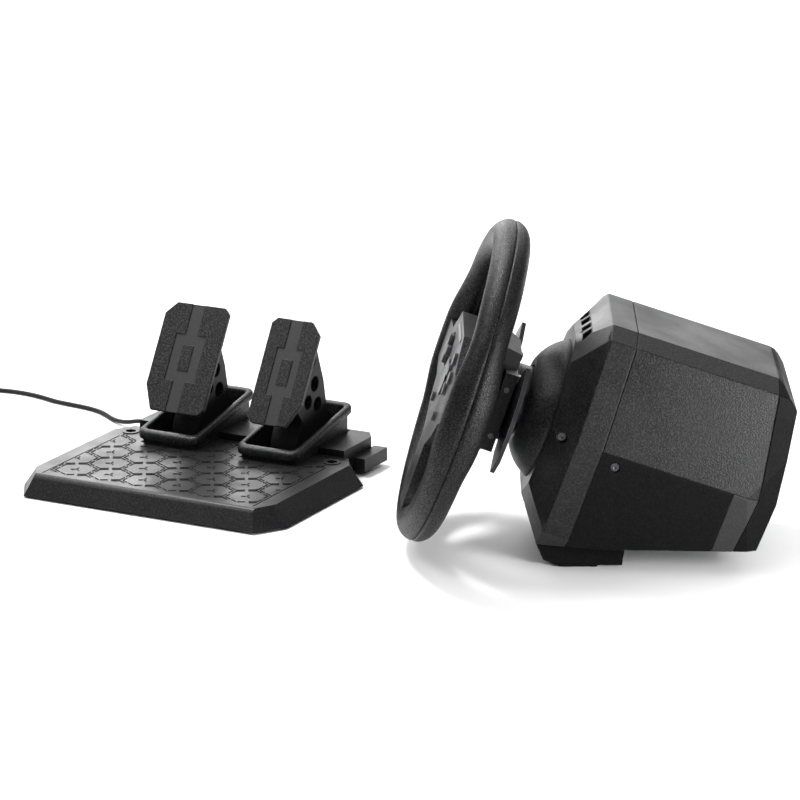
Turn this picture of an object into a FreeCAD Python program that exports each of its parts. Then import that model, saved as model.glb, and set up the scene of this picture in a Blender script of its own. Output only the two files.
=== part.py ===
import FreeCAD, Part
import math
import os

from FreeCAD import Placement, Rotation, Vector

# A racing-wheel set: a wheel unit (rim, hub, paddles and force-feedback base) and a two-pedal
# set with its cord.  Sizes are millimetres.
#
# Row frame: +Z up, the driver looks along +Y and X runs across.  The origin is the centre of
# the flat underside of the block that hangs over the desk's front edge.
# Head frame: X across, Y along the shaft towards the rear ("t"), Z square to both ("r"), with
# its origin at the rim's centre.  The wheel and the base are drawn in it.
# Pedal frame: X to the right, Y away from the driver, Z up, with its origin on the floor at
# the left end of the foot plate's front edge.

# ---- places of the three frames
AXIS_TILT = 18.6
RIM_CENTRE = Vector(0, -95.0, 143.7)
PEDAL_TURN = 62.0
PEDAL_ORIGIN = Vector(-140.0, -462.0, 0)
HEAD = Placement(RIM_CENTRE, Rotation(Vector(1, 0, 0), -AXIS_TILT))
PEDALS = Placement(PEDAL_ORIGIN, Rotation(Vector(0, 0, 1), PEDAL_TURN))
ROW = Placement()

# ---- clearances
GAP = 0.3
RUNNING = 0.05
WALL = 3.0

# ---- wheel
RIM_RADIUS = 124.2
RIM_TUBE = 15.5
RIM_WALL = 3.0
SEAM = 0.4
PLATE_FRONT = -15.0
PLATE_REAR = -1.0
HUB_REAR = 37.0
SHAFT_RADIUS = 12.0
COLLAR_RADIUS = 28.5
ACTION_BUTTON_RADIUS = 5.5
ACTION_CENTRE = (40.0, 12.0)
ACTION_SPREAD = 13.0
MENU_BUTTON_RADIUS = 4.0
MENU_PLACES = {"left": (-30.0, -29.0), "right": (30.0, -29.0)}
DPAD_CENTRE = (-40.0, 12.0)
BUTTON_TOP = -17.5
BUTTON_BOTTOM = -7.5

# ---- paddles
PADDLE_HINGE = (37.0, 40.4)
PADDLE_PIN_RADIUS = 1.5
PADDLE_THICK = 3.6

# ---- base: cross-section (x, r), right half, from the top down
SECTION = [(50.0, 97.0), (72.0, 89.0), (92.0, 2.8), (80.0, -80.0), (64.0, -97.0)]
BEZEL_RING = [(24.0, 69.0), (49.0, 55.0), (74.0, 2.0), (52.0, -52.0), (26.0, -69.0)]
BEZEL_FRONT = 74.0
FRONT_CORNER = 96.0
BEZEL_REAR = 118.0
PARTING = 2.8
CAP_LINE = [(240.0, 98.0), (252.5, PARTING), (246.0, -60.0)]
SKIRT_FRONT = 231.0
UNDERSIDE = 21.4
CLAMP_Y = 90.0
CLAMP_RADIUS = 3.0
CLAMP_DEPTH = 14.0
PCB_LEVEL = -30.0
BLOCK_HALF_WIDTH = 58.0

# ---- drive
FRONT_BEARING = 84.0
REAR_BEARING = 148.0
BEARING_RADIUS = 21.0
BEARING_WIDTH = 10.0
PULLEY_RADIUS = 52.0
PULLEY_FRONT = 162.0
PULLEY_REAR = 176.0
MOTOR_PLACE = (45.0, 55.0)
MOTOR_RADIUS = 20.0
MOTOR_PULLEY_RADIUS = 8.0
MOTOR_SHAFT_RADIUS = 2.5
BELT_THICK = 1.5
BELT_FRONT = 163.5
BELT_REAR = 174.5

# ---- pedal set
PLATE_TOP = 20.0
PLATE_FOOT = 2.0
PLATE_TOP_OUTLINE = [
    (0, 0), (216, 0), (227, 20), (227, 150), (216, 168), (0, 168), (-11, 150), (-11, 20),
]
PLATE_FOOT_OUTLINE = [
    (-6, -10), (222, -10), (239, 18), (239, 154), (224, 168), (-8, 168), (-23, 154), (-23, 18),
]
FRONT_EDGE_ROUND = 7.0
RAIL_GROOVES = (3.0, 212.0)
GROOVE_WIDTH = 1.2
COVER_TOP = 4.0
CHASSIS = (4.0, 212.0, 168.4, 230.5)
CHASSIS_TOP = 26.0
BRAKE_X = 58.0
GAS_X = 158.0
HOUSING_HALF = 28.0
RIM_HALF = 30.5
HOUSING_FRONT = 127.0
HOUSING_REAR = 227.0
PIVOT = (190.0, 20.0)
PEDAL_PIN_RADIUS = 3.0
FACE_TILT = 31.5
FACE_CENTRE = (158.0, 92.6)
FACE_THICK = 4.5
FACE_HEIGHT = {"brake": 100.0, "gas": 97.0}
FACE_WIDTH = {"brake": 63.0, "gas": 49.0}
FACE_CUT_ACROSS = 10.0
FACE_CUT_TOP = 11.0
FACE_CUT_BOTTOM = 22.0
FACE_SOFT_CORNER = 5.0
ARM_HALF = 13.0
BOLT_PLACES = [(6.0, 150.0), (210.0, 150.0)]
BOLT_RADIUS = 2.75
BOLT_BOSS_RADIUS = 7.5
BOLT_HEXAGON = 5.0

# ---- cord: route on the floor in the pedal frame, then a coil
CORD_DIAMETER = 4.0
GLAND_TIP = -12.0
CORD_EXIT = Vector(GLAND_TIP, 216.0, 9.0)
CORD_ROUTE = [
    CORD_EXIT,
    Vector(-25.0, 216.0, 9.0),
    Vector(-40.0, 218.0, 4.6),
    Vector(-59.0, 227.0, 2.1),
    Vector(-77.0, 241.0, 2.1),
    Vector(-95.0, 249.0, 2.1),
    Vector(-116.0, 252.0, 2.1),
    Vector(-138.0, 254.0, 2.1),
    Vector(-157.0, 261.0, 2.1),
    Vector(-180.0, 265.0, 2.1),
    Vector(-205.0, 263.0, 2.1),
    Vector(-228.0, 254.0, 2.1),
]
COIL_MEAN_RADIUS = 22.0
COIL_HEIGHT = 19.0
COIL_HALF_BAND = 6.0
COIL_BEARING = 277.0
PLUG_SIZE = (24.0, 11.7, 7.0)

NODES = {}


# ---------------------------------------------------------------- small tools
def keep(name, shape, frame=ROW):
    """Put a finished piece into the row frame under its node's name."""
    shape.Placement = frame.multiply(shape.Placement)
    NODES[name] = shape


def box(x, y, z):
    """A box from three (low, high) pairs."""
    size = [high - low for low, high in (x, y, z)]
    return Part.makeBox(size[0], size[1], size[2], Vector(x[0], y[0], z[0]))


def rod(radius, start, end, axis="y", at=(0.0, 0.0)):
    """A cylinder along an axis; at holds its two other coordinates."""
    if axis == "x":
        return Part.makeCylinder(radius, end - start, Vector(start, at[0], at[1]), Vector(1, 0, 0))
    if axis == "y":
        return Part.makeCylinder(radius, end - start, Vector(at[0], start, at[1]), Vector(0, 1, 0))
    return Part.makeCylinder(radius, end - start, Vector(at[0], at[1], start), Vector(0, 0, 1))


def tube(outer, inner, start, end, axis="y", at=(0.0, 0.0)):
    return rod(outer, start, end, axis, at).cut(rod(inner, start - 1, end + 1, axis, at))


def closed_wire(points):
    return Part.makePolygon(points + [points[0]])


def prism_y(outline, start, end):
    """An outline in (x, r) drawn out along the shaft."""
    points = [Vector(x, start, r) for x, r in outline]
    return Part.Face(closed_wire(points)).extrude(Vector(0, end - start, 0))


def prism_x(outline, start, end):
    """An outline in (y, z) drawn out across the width."""
    points = [Vector(start, y, z) for y, z in outline]
    return Part.Face(closed_wire(points)).extrude(Vector(end - start, 0, 0))


def prism_z(outline, start, end):
    """An outline in (x, y) drawn out upwards."""
    points = [Vector(x, y, start) for x, y in outline]
    return Part.Face(closed_wire(points)).extrude(Vector(0, 0, end - start))


def both_sides(half):
    """Mirror a right-half outline, listed from the top down, about x = 0."""
    left = [(-x, other) for x, other in reversed(half)]
    return half + left


def inset(outline, distance):
    """Move every side of a convex outline inwards by a distance."""
    count = len(outline)
    area = 0.0
    for i in range(count):
        (x0, y0), (x1, y1) = outline[i], outline[(i + 1) % count]
        area += x0 * y1 - x1 * y0
    side = 1.0 if area > 0 else -1.0
    lines = []
    for i in range(count):
        (x0, y0), (x1, y1) = outline[i], outline[(i + 1) % count]
        length = math.hypot(x1 - x0, y1 - y0)
        nx = -side * (y1 - y0) / length
        ny = side * (x1 - x0) / length
        lines.append((nx, ny, nx * x0 + ny * y0 + distance))
    result = []
    for i in range(count):
        a0, b0, c0 = lines[i - 1]
        a1, b1, c1 = lines[i]
        det = a0 * b1 - a1 * b0
        result.append(((c0 * b1 - c1 * b0) / det, (a0 * c1 - a1 * c0) / det))
    return result


def loft_y(sections):
    """A ruled loft through (t, outline in (x, r)) sections."""
    wires = []
    for t, outline in sections:
        wires.append(closed_wire([Vector(x, t, r) for x, r in outline]))
    return Part.makeLoft(wires, True, True)


def mirrored(shape):
    return shape.mirror(Vector(0, 0, 0), Vector(1, 0, 0))


def group(shapes):
    return Part.makeCompound(shapes)


# ---------------------------------------------------------------- wheel (head frame)
def torus(tube_radius):
    return Part.makeTorus(RIM_RADIUS, tube_radius, Vector(0, 0, 0), Vector(0, 1, 0))


SPOKE_HALF = 11.0
SPOKE_FRONT = 2.0
SPOKE_REAR = 8.0


def spoke_bars(extra):
    """Three flat spokes, left, right and down, grown by a clearance."""
    front = SPOKE_FRONT - extra
    rear = SPOKE_REAR + extra
    half = SPOKE_HALF + extra
    across = box((-RIM_RADIUS, RIM_RADIUS), (front, rear), (-half, half))
    down = box((-half, half), (front, rear), (-RIM_RADIUS, 0))
    return across.fuse(down)


def make_wheel_frame():
    ring = torus(RIM_TUBE - RIM_WALL - GAP)
    disc = rod(40.0, SPOKE_FRONT, 10.0)
    frame = ring.fuse([spoke_bars(0.0), disc])
    keep("wheel_frame", frame.cut(rod(SHAFT_RADIUS + RUNNING, -5, 20)), HEAD)


def make_rim_shells():
    skin = torus(RIM_TUBE).cut(torus(RIM_TUBE - RIM_WALL))
    reach = RIM_RADIUS + RIM_TUBE + 5
    front_half = box((-reach, reach), (-RIM_TUBE - 5, -SEAM / 2), (-reach, reach))
    rear_half = box((-reach, reach), (SEAM / 2, RIM_TUBE + 5), (-reach, reach))
    keep("rim_front_shell", skin.common(front_half), HEAD)
    keep("rim_rear_shell", skin.common(rear_half).cut(spoke_bars(GAP)), HEAD)


FACEPLATE = [(40, 46), (56, 34), (74, 22), (118, 18), (118, -15), (74, -21), (56, -38), (25, -56), (21, -118)]


def button_places():
    x, r = ACTION_CENTRE
    return {
        "top": (x, r + ACTION_SPREAD),
        "right": (x + ACTION_SPREAD, r),
        "bottom": (x, r - ACTION_SPREAD),
        "left": (x - ACTION_SPREAD, r),
    }


def make_faceplate():
    outline = both_sides([(float(x), float(r)) for x, r in FACEPLATE])
    hollow = both_sides([(38, 43), (53.5, 32), (73, 19), (106, 15), (106, -12), (73, -18),
                         (53.5, -36), (22.5, -54), (18.5, -106)])
    plate = prism_y(outline, PLATE_FRONT, PLATE_REAR)
    plate = plate.cut(prism_y(hollow, PLATE_FRONT + 2.5, PLATE_REAR + 1))
    plate = plate.cut(torus(RIM_TUBE + GAP))
    for x, r in button_places().values():
        plate = plate.cut(rod(ACTION_BUTTON_RADIUS + GAP, -20, -10, at=(x, r)))
    for x, r in MENU_PLACES.values():
        plate = plate.cut(rod(MENU_BUTTON_RADIUS + GAP, -20, -10, at=(x, r)))
    plate = plate.cut(rod(15.0, -20, -10, at=DPAD_CENTRE))
    plate = plate.cut(rod(16.0, -20, -10, at=(0, -2)))
    plate = plate.cut(box((-28.3, 28.3), (-20, -10), (35.7, 40.3)))
    keep("wheel_faceplate", plate, HEAD)


def make_faceplate_fittings():
    cap = rod(15.8, -16.5, -12.6, at=(0, -2)).fuse(rod(12.0, -12.6, -5.6, at=(0, -2)))
    keep("center_cap", cap.makeChamfer(0.8, [cap.Edges[0]]), HEAD)
    keep("led_window", box((-28, 28), (-15.6, -9.0), (36, 40)), HEAD)
    board = box((-50, 50), (-5.0, -3.4), (-34, 31)).cut(rod(4.0, -6, -2, at=(0, 0)))
    keep("wheel_pcb", board, HEAD)


def button(radius, x, r):
    """A round cap with a wider flange under the plate that holds it in."""
    cap = rod(radius, BUTTON_TOP, BUTTON_BOTTOM, at=(x, r))
    flange = rod(radius + 1.4, -12.1, -10.8, at=(x, r))
    return cap.fuse(flange)


def make_buttons():
    for name, (x, r) in button_places().items():
        keep("action_button_" + name, button(ACTION_BUTTON_RADIUS, x, r), HEAD)
    for name, (x, r) in MENU_PLACES.items():
        keep("menu_button_" + name, button(MENU_BUTTON_RADIUS, x, r), HEAD)


def make_dpad():
    """A cross that rocks on a small ball; the ball's carrier turns the other way."""
    x, r = DPAD_CENTRE
    cross = box((x - 12.5, x + 12.5), (-18.5, -14.6), (r - 4.2, r + 4.2))
    cross = cross.fuse(box((x - 4.2, x + 4.2), (-18.5, -14.6), (r - 12.5, r + 12.5)))
    cross = cross.fuse(rod(5.5, -16.0, -11.0, at=DPAD_CENTRE))
    cross = cross.cut(rod(3.5, -13.5, -10.0, at=DPAD_CENTRE))
    keep("dpad", cross, HEAD)
    keep("dpad_pivot", rod(3.0, -13.0, -7.5, at=DPAD_CENTRE), HEAD)


def hub_outline(grow):
    sections = [
        (PLATE_REAR, [(40, 46), (56, 34), (56, -30), (40, -44)]),
        (16.5, [(38, 49), (54, 36), (54, -30), (38, -42)]),
        (HUB_REAR, [(24, 42), (31, 35), (31, -27), (24, -34)]),
    ]
    return [(t, inset(both_sides(half), -grow)) for t, half in sections]


def hub_loft(grow):
    return loft_y(hub_outline(grow))


def hub_cover_outside():
    """The hub's tapered body, two side arms and the wedge of the bottom spoke."""
    arm_x = [(30, PLATE_REAR), (45, 30), (80, 19), (118, 13), (118, PLATE_REAR)]
    wedge = [(PLATE_REAR, -25), (34, -32), (34, -37), (17, -89), (12, -118), (PLATE_REAR, -118)]
    arm = Part.Face(closed_wire([Vector(x, t, -15) for x, t in arm_x])).extrude(Vector(0, 0, 33))
    return hub_loft(0.0).fuse([arm, mirrored(arm), prism_x(wedge, -20, 20)])


def make_hub_rear_cover():
    shape = hub_cover_outside()
    inner_sections = hub_outline(-2.5)
    inner_sections[0] = (PLATE_REAR - 0.5, inner_sections[0][1])
    inner_sections[2] = (HUB_REAR - WALL, inner_sections[2][1])
    hollow = loft_y(inner_sections)
    inner_arm_x = [(20, -2), (20, 24), (45, 24), (80, 16), (107, 11.5), (107, -2)]
    inner_arm = Part.Face(closed_wire([Vector(x, t, -12.5) for x, t in inner_arm_x]))
    inner_arm = inner_arm.extrude(Vector(0, 0, 28))
    inner_wedge = prism_x([(-2, -20), (30, -20), (30, -37), (14.5, -86), (11, -107), (-2, -107)], -17.5, 17.5)
    shape = shape.cut(hollow.fuse([inner_arm, mirrored(inner_arm), inner_wedge]))
    shape = shape.cut(torus(RIM_TUBE + GAP)).cut(spoke_bars(GAP))
    keep("hub_rear_cover", shape.cut(rod(SHAFT_RADIUS + RUNNING, 20, 40)), HEAD)


CARRIER_REAR = 36.3
CARRIER_SIDE = 56.0


def make_paddle_carriers():
    block = box((30, CARRIER_SIDE), (26, CARRIER_REAR), (-36, 32))
    hinge_t = PADDLE_HINGE[1]
    for low, high in ((22.4, 28.0), (-28.0, -22.4)):
        block = block.fuse(box((33, 41), (CARRIER_REAR - 1, hinge_t + 4), (low, high)))
    block = block.cut(hub_cover_outside())
    pin = rod(PADDLE_PIN_RADIUS, -28, 28, "z", PADDLE_HINGE)
    block = block.cut(pin)
    screws = []
    for r in (18.0, -23.0):
        block = block.cut(rod(2.6, CARRIER_SIDE - 2.0, CARRIER_SIDE + 1, "x", (31.0, r)))
        block = block.cut(rod(1.3, CARRIER_SIDE - 9.0, CARRIER_SIDE, "x", (31.0, r)))
        screw = rod(2.5, CARRIER_SIDE - 2.0, CARRIER_SIDE + 0.4, "x", (31.0, r))
        screw = screw.fuse(rod(1.25, CARRIER_SIDE - 9.0, CARRIER_SIDE - 1.0, "x", (31.0, r)))
        screws.append(screw)
        screws.append(mirrored(screw))
    keep("paddle_carriers", group([block, mirrored(block)]), HEAD)
    keep("paddle_pins", group([pin, mirrored(pin)]), HEAD)
    keep("carrier_screws", group(screws), HEAD)


def make_paddles():
    hinge_x, hinge_t = PADDLE_HINGE
    outline = [(hinge_x, -20), (45, -20), (52, -36), (72, -48), (90, -33), (97, -8), (97, 6),
               (90, 30), (72, 45), (52, 34), (45, 20), (hinge_x, 20)]
    front = hinge_t - PADDLE_THICK / 2
    plate = prism_y(outline, front, front + PADDLE_THICK)
    plate = plate.fuse(rod(3.2, -22, 22, "z", PADDLE_HINGE))
    plate = plate.cut(rod(PADDLE_PIN_RADIUS + RUNNING, -30, 30, "z", PADDLE_HINGE))
    keep("paddle_right", plate.copy(), HEAD)
    keep("paddle_left", mirrored(plate), HEAD)


def make_column():
    collar = tube(COLLAR_RADIUS, SHAFT_RADIUS, HUB_REAR, 58.0)
    for t in (41.0, 54.0):
        collar = collar.cut(tube(COLLAR_RADIUS + 1, COLLAR_RADIUS - 0.8, t, t + 1.0))
    keep("column_collar", collar, HEAD)
    shaft = tube(SHAFT_RADIUS, 6.0, 4.0, 178.0).fuse(tube(26.0, 6.0, 10.0, 14.0))
    keep("main_shaft", shaft, HEAD)


def make_driven_pulley():
    web = tube(PULLEY_RADIUS - 5, SHAFT_RADIUS, 167.0, 171.0)
    for i in range(6):
        angle = math.radians(60 * i)
        web = web.cut(rod(9.0, 160, 180, at=(32 * math.cos(angle), 32 * math.sin(angle))))
    hub = tube(18.0, SHAFT_RADIUS, PULLEY_FRONT, PULLEY_REAR)
    rim = tube(PULLEY_RADIUS, PULLEY_RADIUS - 5, PULLEY_FRONT, PULLEY_REAR)
    front = tube(PULLEY_RADIUS + 3, PULLEY_RADIUS - 5, PULLEY_FRONT, BELT_FRONT - GAP)
    rear = tube(PULLEY_RADIUS + 3, PULLEY_RADIUS - 5, BELT_REAR + GAP, PULLEY_REAR)
    keep("driven_pulley", web.fuse([hub, rim, front, rear]), HEAD)


# ---------------------------------------------------------------- base (head frame)
def underside_r(t):
    """The r of the level underside at a place along the shaft."""
    tilt = math.radians(AXIS_TILT)
    return (UNDERSIDE - RIM_CENTRE.z + math.sin(tilt) * t) / math.cos(tilt)


def base_envelope(grow):
    """The base behind its front corner: cross-section, side view and plan view in common."""
    front = FRONT_CORNER + grow
    side = [(front, 97.0), (240, 97), (245.5, 94), (259.4, 81), (269, 1.8),
            (266.3, underside_r(266.3)), (front, underside_r(front))]
    plan = both_sides([(93.0, 60.0), (93.0, 240.0), (79.0, 275.0)])
    section = prism_y(inset(both_sides(SECTION), -grow), 60.0, 280.0)
    side_solid = prism_x(inset(side, -grow), -100, 100)
    plan_solid = prism_z(inset(plan, -grow), -110, 110)
    return section.common(side_solid).common(plan_solid)


def bezel_envelope(grow):
    ring = inset(both_sides(BEZEL_RING), -grow)
    corner = inset(both_sides(SECTION), -grow)
    front = BEZEL_FRONT - grow
    return loft_y([(front, ring), (FRONT_CORNER, corner)])


def side_boss(t, r, surface_x, depth):
    """A boss on a side wall for a recessed screw: its body, its hole and its screw."""
    body = rod(7.0, surface_x - depth, surface_x + 4, "x", (t, r))
    hole = rod(4.0, surface_x - 4.0, surface_x + 6, "x", (t, r))
    hole = hole.fuse(rod(1.5, surface_x - depth - 1, surface_x, "x", (t, r)))
    screw = rod(3.6, surface_x - 4.0, surface_x - 1.8, "x", (t, r))
    screw = screw.cut(rod(1.3, surface_x - 3.2, surface_x, "x", (t, r)))
    screw = screw.fuse(rod(1.45, surface_x - depth, surface_x - 4.0, "x", (t, r)))
    return body, hole, screw


BEZEL_SCREW = (84.0, 0.6, 79.5, 14.0)
SHELL_SCREW = (132.0, -7.0, 90.6, 14.0)


def make_casing():
    outer = base_envelope(0.0)
    hollow = base_envelope(-WALL)
    bezel_outer = bezel_envelope(0.0)
    bezel_hollow = bezel_envelope(-WALL)
    front_cut = box((-120, 120), (0, BEZEL_REAR), (-120, 120))
    beyond_corner = box((-120, 120), (FRONT_CORNER, BEZEL_REAR), (-120, 120))
    below = box((-120, 120), (0, 300), (-150, PARTING))
    behind = prism_x([CAP_LINE[0], CAP_LINE[1], CAP_LINE[2], (320, -60), (320, 98)], -120, 120)
    skirt_zone = box((-120, 120), (SKIRT_FRONT, 300), (-150, PARTING))
    passage = rod(COLLAR_RADIUS + 31.0, 60, 90)

    bezel = bezel_outer.fuse(outer.common(beyond_corner))
    bezel = bezel.cut(bezel_hollow.fuse(hollow.common(front_cut))).cut(passage)
    for low, high in ((-34, -22), (-16, -4), (4, 16), (22, 34)):
        bezel = bezel.cut(box((low, high), (78.5, 84), (60, 100)))
        bezel = bezel.cut(box((low, high), (78.5, 84), (-100, -60)))
    body, hole, bezel_screw = side_boss(*BEZEL_SCREW)
    body = body.common(bezel_outer)
    bezel = bezel.fuse([body, mirrored(body)]).cut(hole).cut(mirrored(hole))
    keep("front_bezel", bezel, HEAD)

    skin = outer.cut(hollow.fuse(front_cut))
    upper = skin.cut(below).cut(behind)
    lower = skin.common(below).cut(skirt_zone)
    body, hole, shell_screw = side_boss(*SHELL_SCREW)
    body = body.common(outer)
    lower = lower.fuse([body, mirrored(body)]).cut(hole).cut(mirrored(hole))
    lower = lower.fuse(clamp_boss(8.0, 15.0).common(outer)).cut(clamp_boss(CLAMP_RADIUS, CLAMP_DEPTH))
    for x in (-50, 50):
        for t in (190, 222):
            lower = lower.fuse(rod(3.0, -80, PCB_LEVEL, "z", (x, t)).common(outer))
    keep("upper_shell", upper, HEAD)
    keep("lower_shell", lower, HEAD)
    keep("rear_skirt", skin.common(skirt_zone).cut(behind), HEAD)
    cap = skin.common(behind)
    for _, centre, size in SOCKETS:
        bay = box((centre - size[0] / 2 - GAP, centre + size[0] / 2 + GAP), (100, 200),
                  (SOCKET_Z - size[1] / 2 - GAP, SOCKET_Z + size[1] / 2 + GAP))
        bay.Placement = HEAD.inverse().multiply(bay.Placement)
        cap = cap.cut(bay)
    keep("rear_cap", cap, HEAD)
    screws = [bezel_screw, mirrored(bezel_screw), shell_screw, mirrored(shell_screw)]
    keep("casing_screws", group(screws), HEAD)


def clamp_boss(radius, height):
    """An upright cylinder on the underside for the desk clamp's screw."""
    cylinder = Part.makeCylinder(radius, height, Vector(0, CLAMP_Y, UNDERSIDE), Vector(0, 0, 1))
    cylinder.Placement = HEAD.inverse().multiply(cylinder.Placement)
    return cylinder


def make_nose_cone():
    outer_arc = Part.Arc(Vector(36.7, 52.3, 0), Vector(50.8, 61.5, 0), Vector(59.4, 73.6, 0))
    inner_arc = Part.Arc(Vector(56.6, 74.2, 0), Vector(48.4, 63.2, 0), Vector(35.6, 55.0, 0))
    corners = [Vector(59.4, 73.6, 0), Vector(59.4, 80, 0), Vector(56.6, 80, 0), Vector(56.6, 74.2, 0)]
    mouth = [Vector(35.6, 55.0, 0), Vector(30.5, 55.0, 0), Vector(30.5, 52.3, 0), Vector(36.7, 52.3, 0)]
    edges = [outer_arc.toShape()]
    edges += Part.makePolygon(corners).Edges
    edges.append(inner_arc.toShape())
    edges += Part.makePolygon(mouth).Edges
    profile = Part.Face(Part.Wire(edges))
    keep("nose_cone", profile.revolve(Vector(0, 0, 0), Vector(0, 1, 0), 360), HEAD)


SOCKET_Z = 40.0
SOCKETS = [
    ("usb_socket", -28.0, (12.0, 11.0)),
    ("pedal_socket", 0.0, (14.0, 12.0)),
    ("power_socket", 28.0, (11.0, 11.0)),
]
SOCKET_REAR = 152.0
SOCKET_DEPTH = 14.0


def make_sockets():
    """Three level sockets that look out through the rear cap (row frame)."""
    for name, x, (width, height) in SOCKETS:
        body = box((x - width / 2, x + width / 2), (SOCKET_REAR - SOCKET_DEPTH - 3, SOCKET_REAR),
                   (SOCKET_Z - height / 2, SOCKET_Z + height / 2))
        front = SOCKET_REAR - SOCKET_DEPTH
        if name == "power_socket":
            body = body.cut(rod(4.0, front, SOCKET_REAR + 1, at=(x, SOCKET_Z)))
            body = body.fuse(rod(1.0, front - 1, SOCKET_REAR - 2, at=(x, SOCKET_Z)))
        else:
            half_w = width / 2 - 1.6
            half_h = height / 2 - 1.6
            body = body.cut(box((x - half_w, x + half_w), (front, SOCKET_REAR + 1),
                                (SOCKET_Z - half_h, SOCKET_Z + half_h)))
        keep(name, body)


def make_front_block():
    outline = [(-35.5, UNDERSIDE - 0.1), (-29, 6.1), (-15.25, 0), (15.25, 0), (16.2, 1.5),
               (36.2, 1.5), (39, UNDERSIDE - 0.1)]
    block = prism_x(outline, -BLOCK_HALF_WIDTH, BLOCK_HALF_WIDTH)
    envelope = base_envelope(0.0).fuse(bezel_envelope(0.0))
    envelope.Placement = HEAD.multiply(envelope.Placement)
    keep("front_block", block.cut(envelope))


def make_base_feet():
    """Rubber pads that rest on the desk behind its front edge (row frame)."""
    rows = [(40.5, 64.0, 17.5), (98.5, 113.4, 18.0), (115.3, 137.0, 17.5)]
    pads = []
    for low, high, bottom in rows:
        for side in (-1, 1):
            edges = sorted((side * 12.0, side * 58.0))
            pads.append(box(edges, (low, high), (bottom, UNDERSIDE)))
    keep("base_feet", group(pads))


# ---------------------------------------------------------------- drive (head frame)
def make_bearing_frame():
    shape = box((-28, 28), (FRONT_BEARING, REAR_BEARING + 6), (-38, -32))
    for t in (FRONT_BEARING, REAR_BEARING):
        shape = shape.fuse(box((-28, 28), (t, t + 6), (-38, 28)))
    outline = [(-28, 28), (-10, 40), (20, 76), (62, 76), (68, 60), (68, 44), (28, -10), (28, -38),
               (-28, -38)]
    shape = shape.fuse(prism_y(outline, REAR_BEARING + 6, REAR_BEARING + 9))
    legs = box((-24, 24), (100, 112), (-100, -38)).fuse(box((-24, 24), (140, 152), (-100, -38)))
    shape = shape.fuse(legs.common(base_envelope(-WALL - RUNNING)))
    shape = shape.cut(rod(BEARING_RADIUS, FRONT_BEARING - 2, REAR_BEARING + 6))
    shape = shape.cut(rod(15.0, REAR_BEARING, REAR_BEARING + 12))
    shape = shape.cut(rod(6.0, REAR_BEARING, REAR_BEARING + 12, at=MOTOR_PLACE))
    keep("bearing_frame", shape, HEAD)


def make_bearings():
    rings = []
    for t in (FRONT_BEARING - 2, REAR_BEARING - 4):
        rings.append(tube(BEARING_RADIUS, SHAFT_RADIUS + RUNNING, t, t + BEARING_WIDTH))
    keep("bearings", group(rings), HEAD)


def make_motor():
    rear = REAR_BEARING + 6
    can = rod(MOTOR_RADIUS, 100, rear, at=MOTOR_PLACE)
    bore = rod(MOTOR_SHAFT_RADIUS + RUNNING, rear - 25, rear + 1, at=MOTOR_PLACE)
    keep("motor", can.cut(bore), HEAD)
    spindle = rod(MOTOR_SHAFT_RADIUS, rear - 24, BELT_REAR + 3, at=MOTOR_PLACE)
    drum = rod(MOTOR_PULLEY_RADIUS, BELT_FRONT - 1, BELT_REAR + 1, at=MOTOR_PLACE)
    keep("motor_pulley", spindle.fuse(drum), HEAD)


def belt_hull(extra):
    """The filled outline of two pulleys and the belt's straight runs around them."""
    mx, mr = MOTOR_PLACE
    distance = math.hypot(mx, mr)
    heading = math.atan2(mr, mx)
    lean = math.acos((PULLEY_RADIUS - MOTOR_PULLEY_RADIUS) / distance)
    big = PULLEY_RADIUS + extra
    small = MOTOR_PULLEY_RADIUS + extra
    corners = []
    for sign, order in ((1, (0, 1)), (-1, (1, 0))):
        angle = heading + sign * lean
        unit = (math.cos(angle), math.sin(angle))
        ends = [(big * unit[0], big * unit[1]), (mx + small * unit[0], mr + small * unit[1])]
        corners += [ends[order[0]], ends[order[1]]]
    quad = prism_y(corners, BELT_FRONT, BELT_REAR)
    hull = rod(big, BELT_FRONT, BELT_REAR).fuse(rod(small, BELT_FRONT, BELT_REAR, at=MOTOR_PLACE))
    return hull.fuse(quad)


def make_drive_belt():
    keep("drive_belt", belt_hull(GAP + BELT_THICK).cut(belt_hull(GAP)), HEAD)


def make_main_pcb():
    keep("main_pcb", box((-60, 60), (184, 232), (PCB_LEVEL, PCB_LEVEL + 1.6)), HEAD)


# ---------------------------------------------------------------- pedal set (pedal frame)
def housing_prism(x):
    """The room that a pedal housing takes in the plate and the chassis."""
    half = HOUSING_HALF + GAP
    return box((x - half, x + half), (HOUSING_FRONT - GAP, HOUSING_REAR + GAP), (0, 60))


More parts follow.
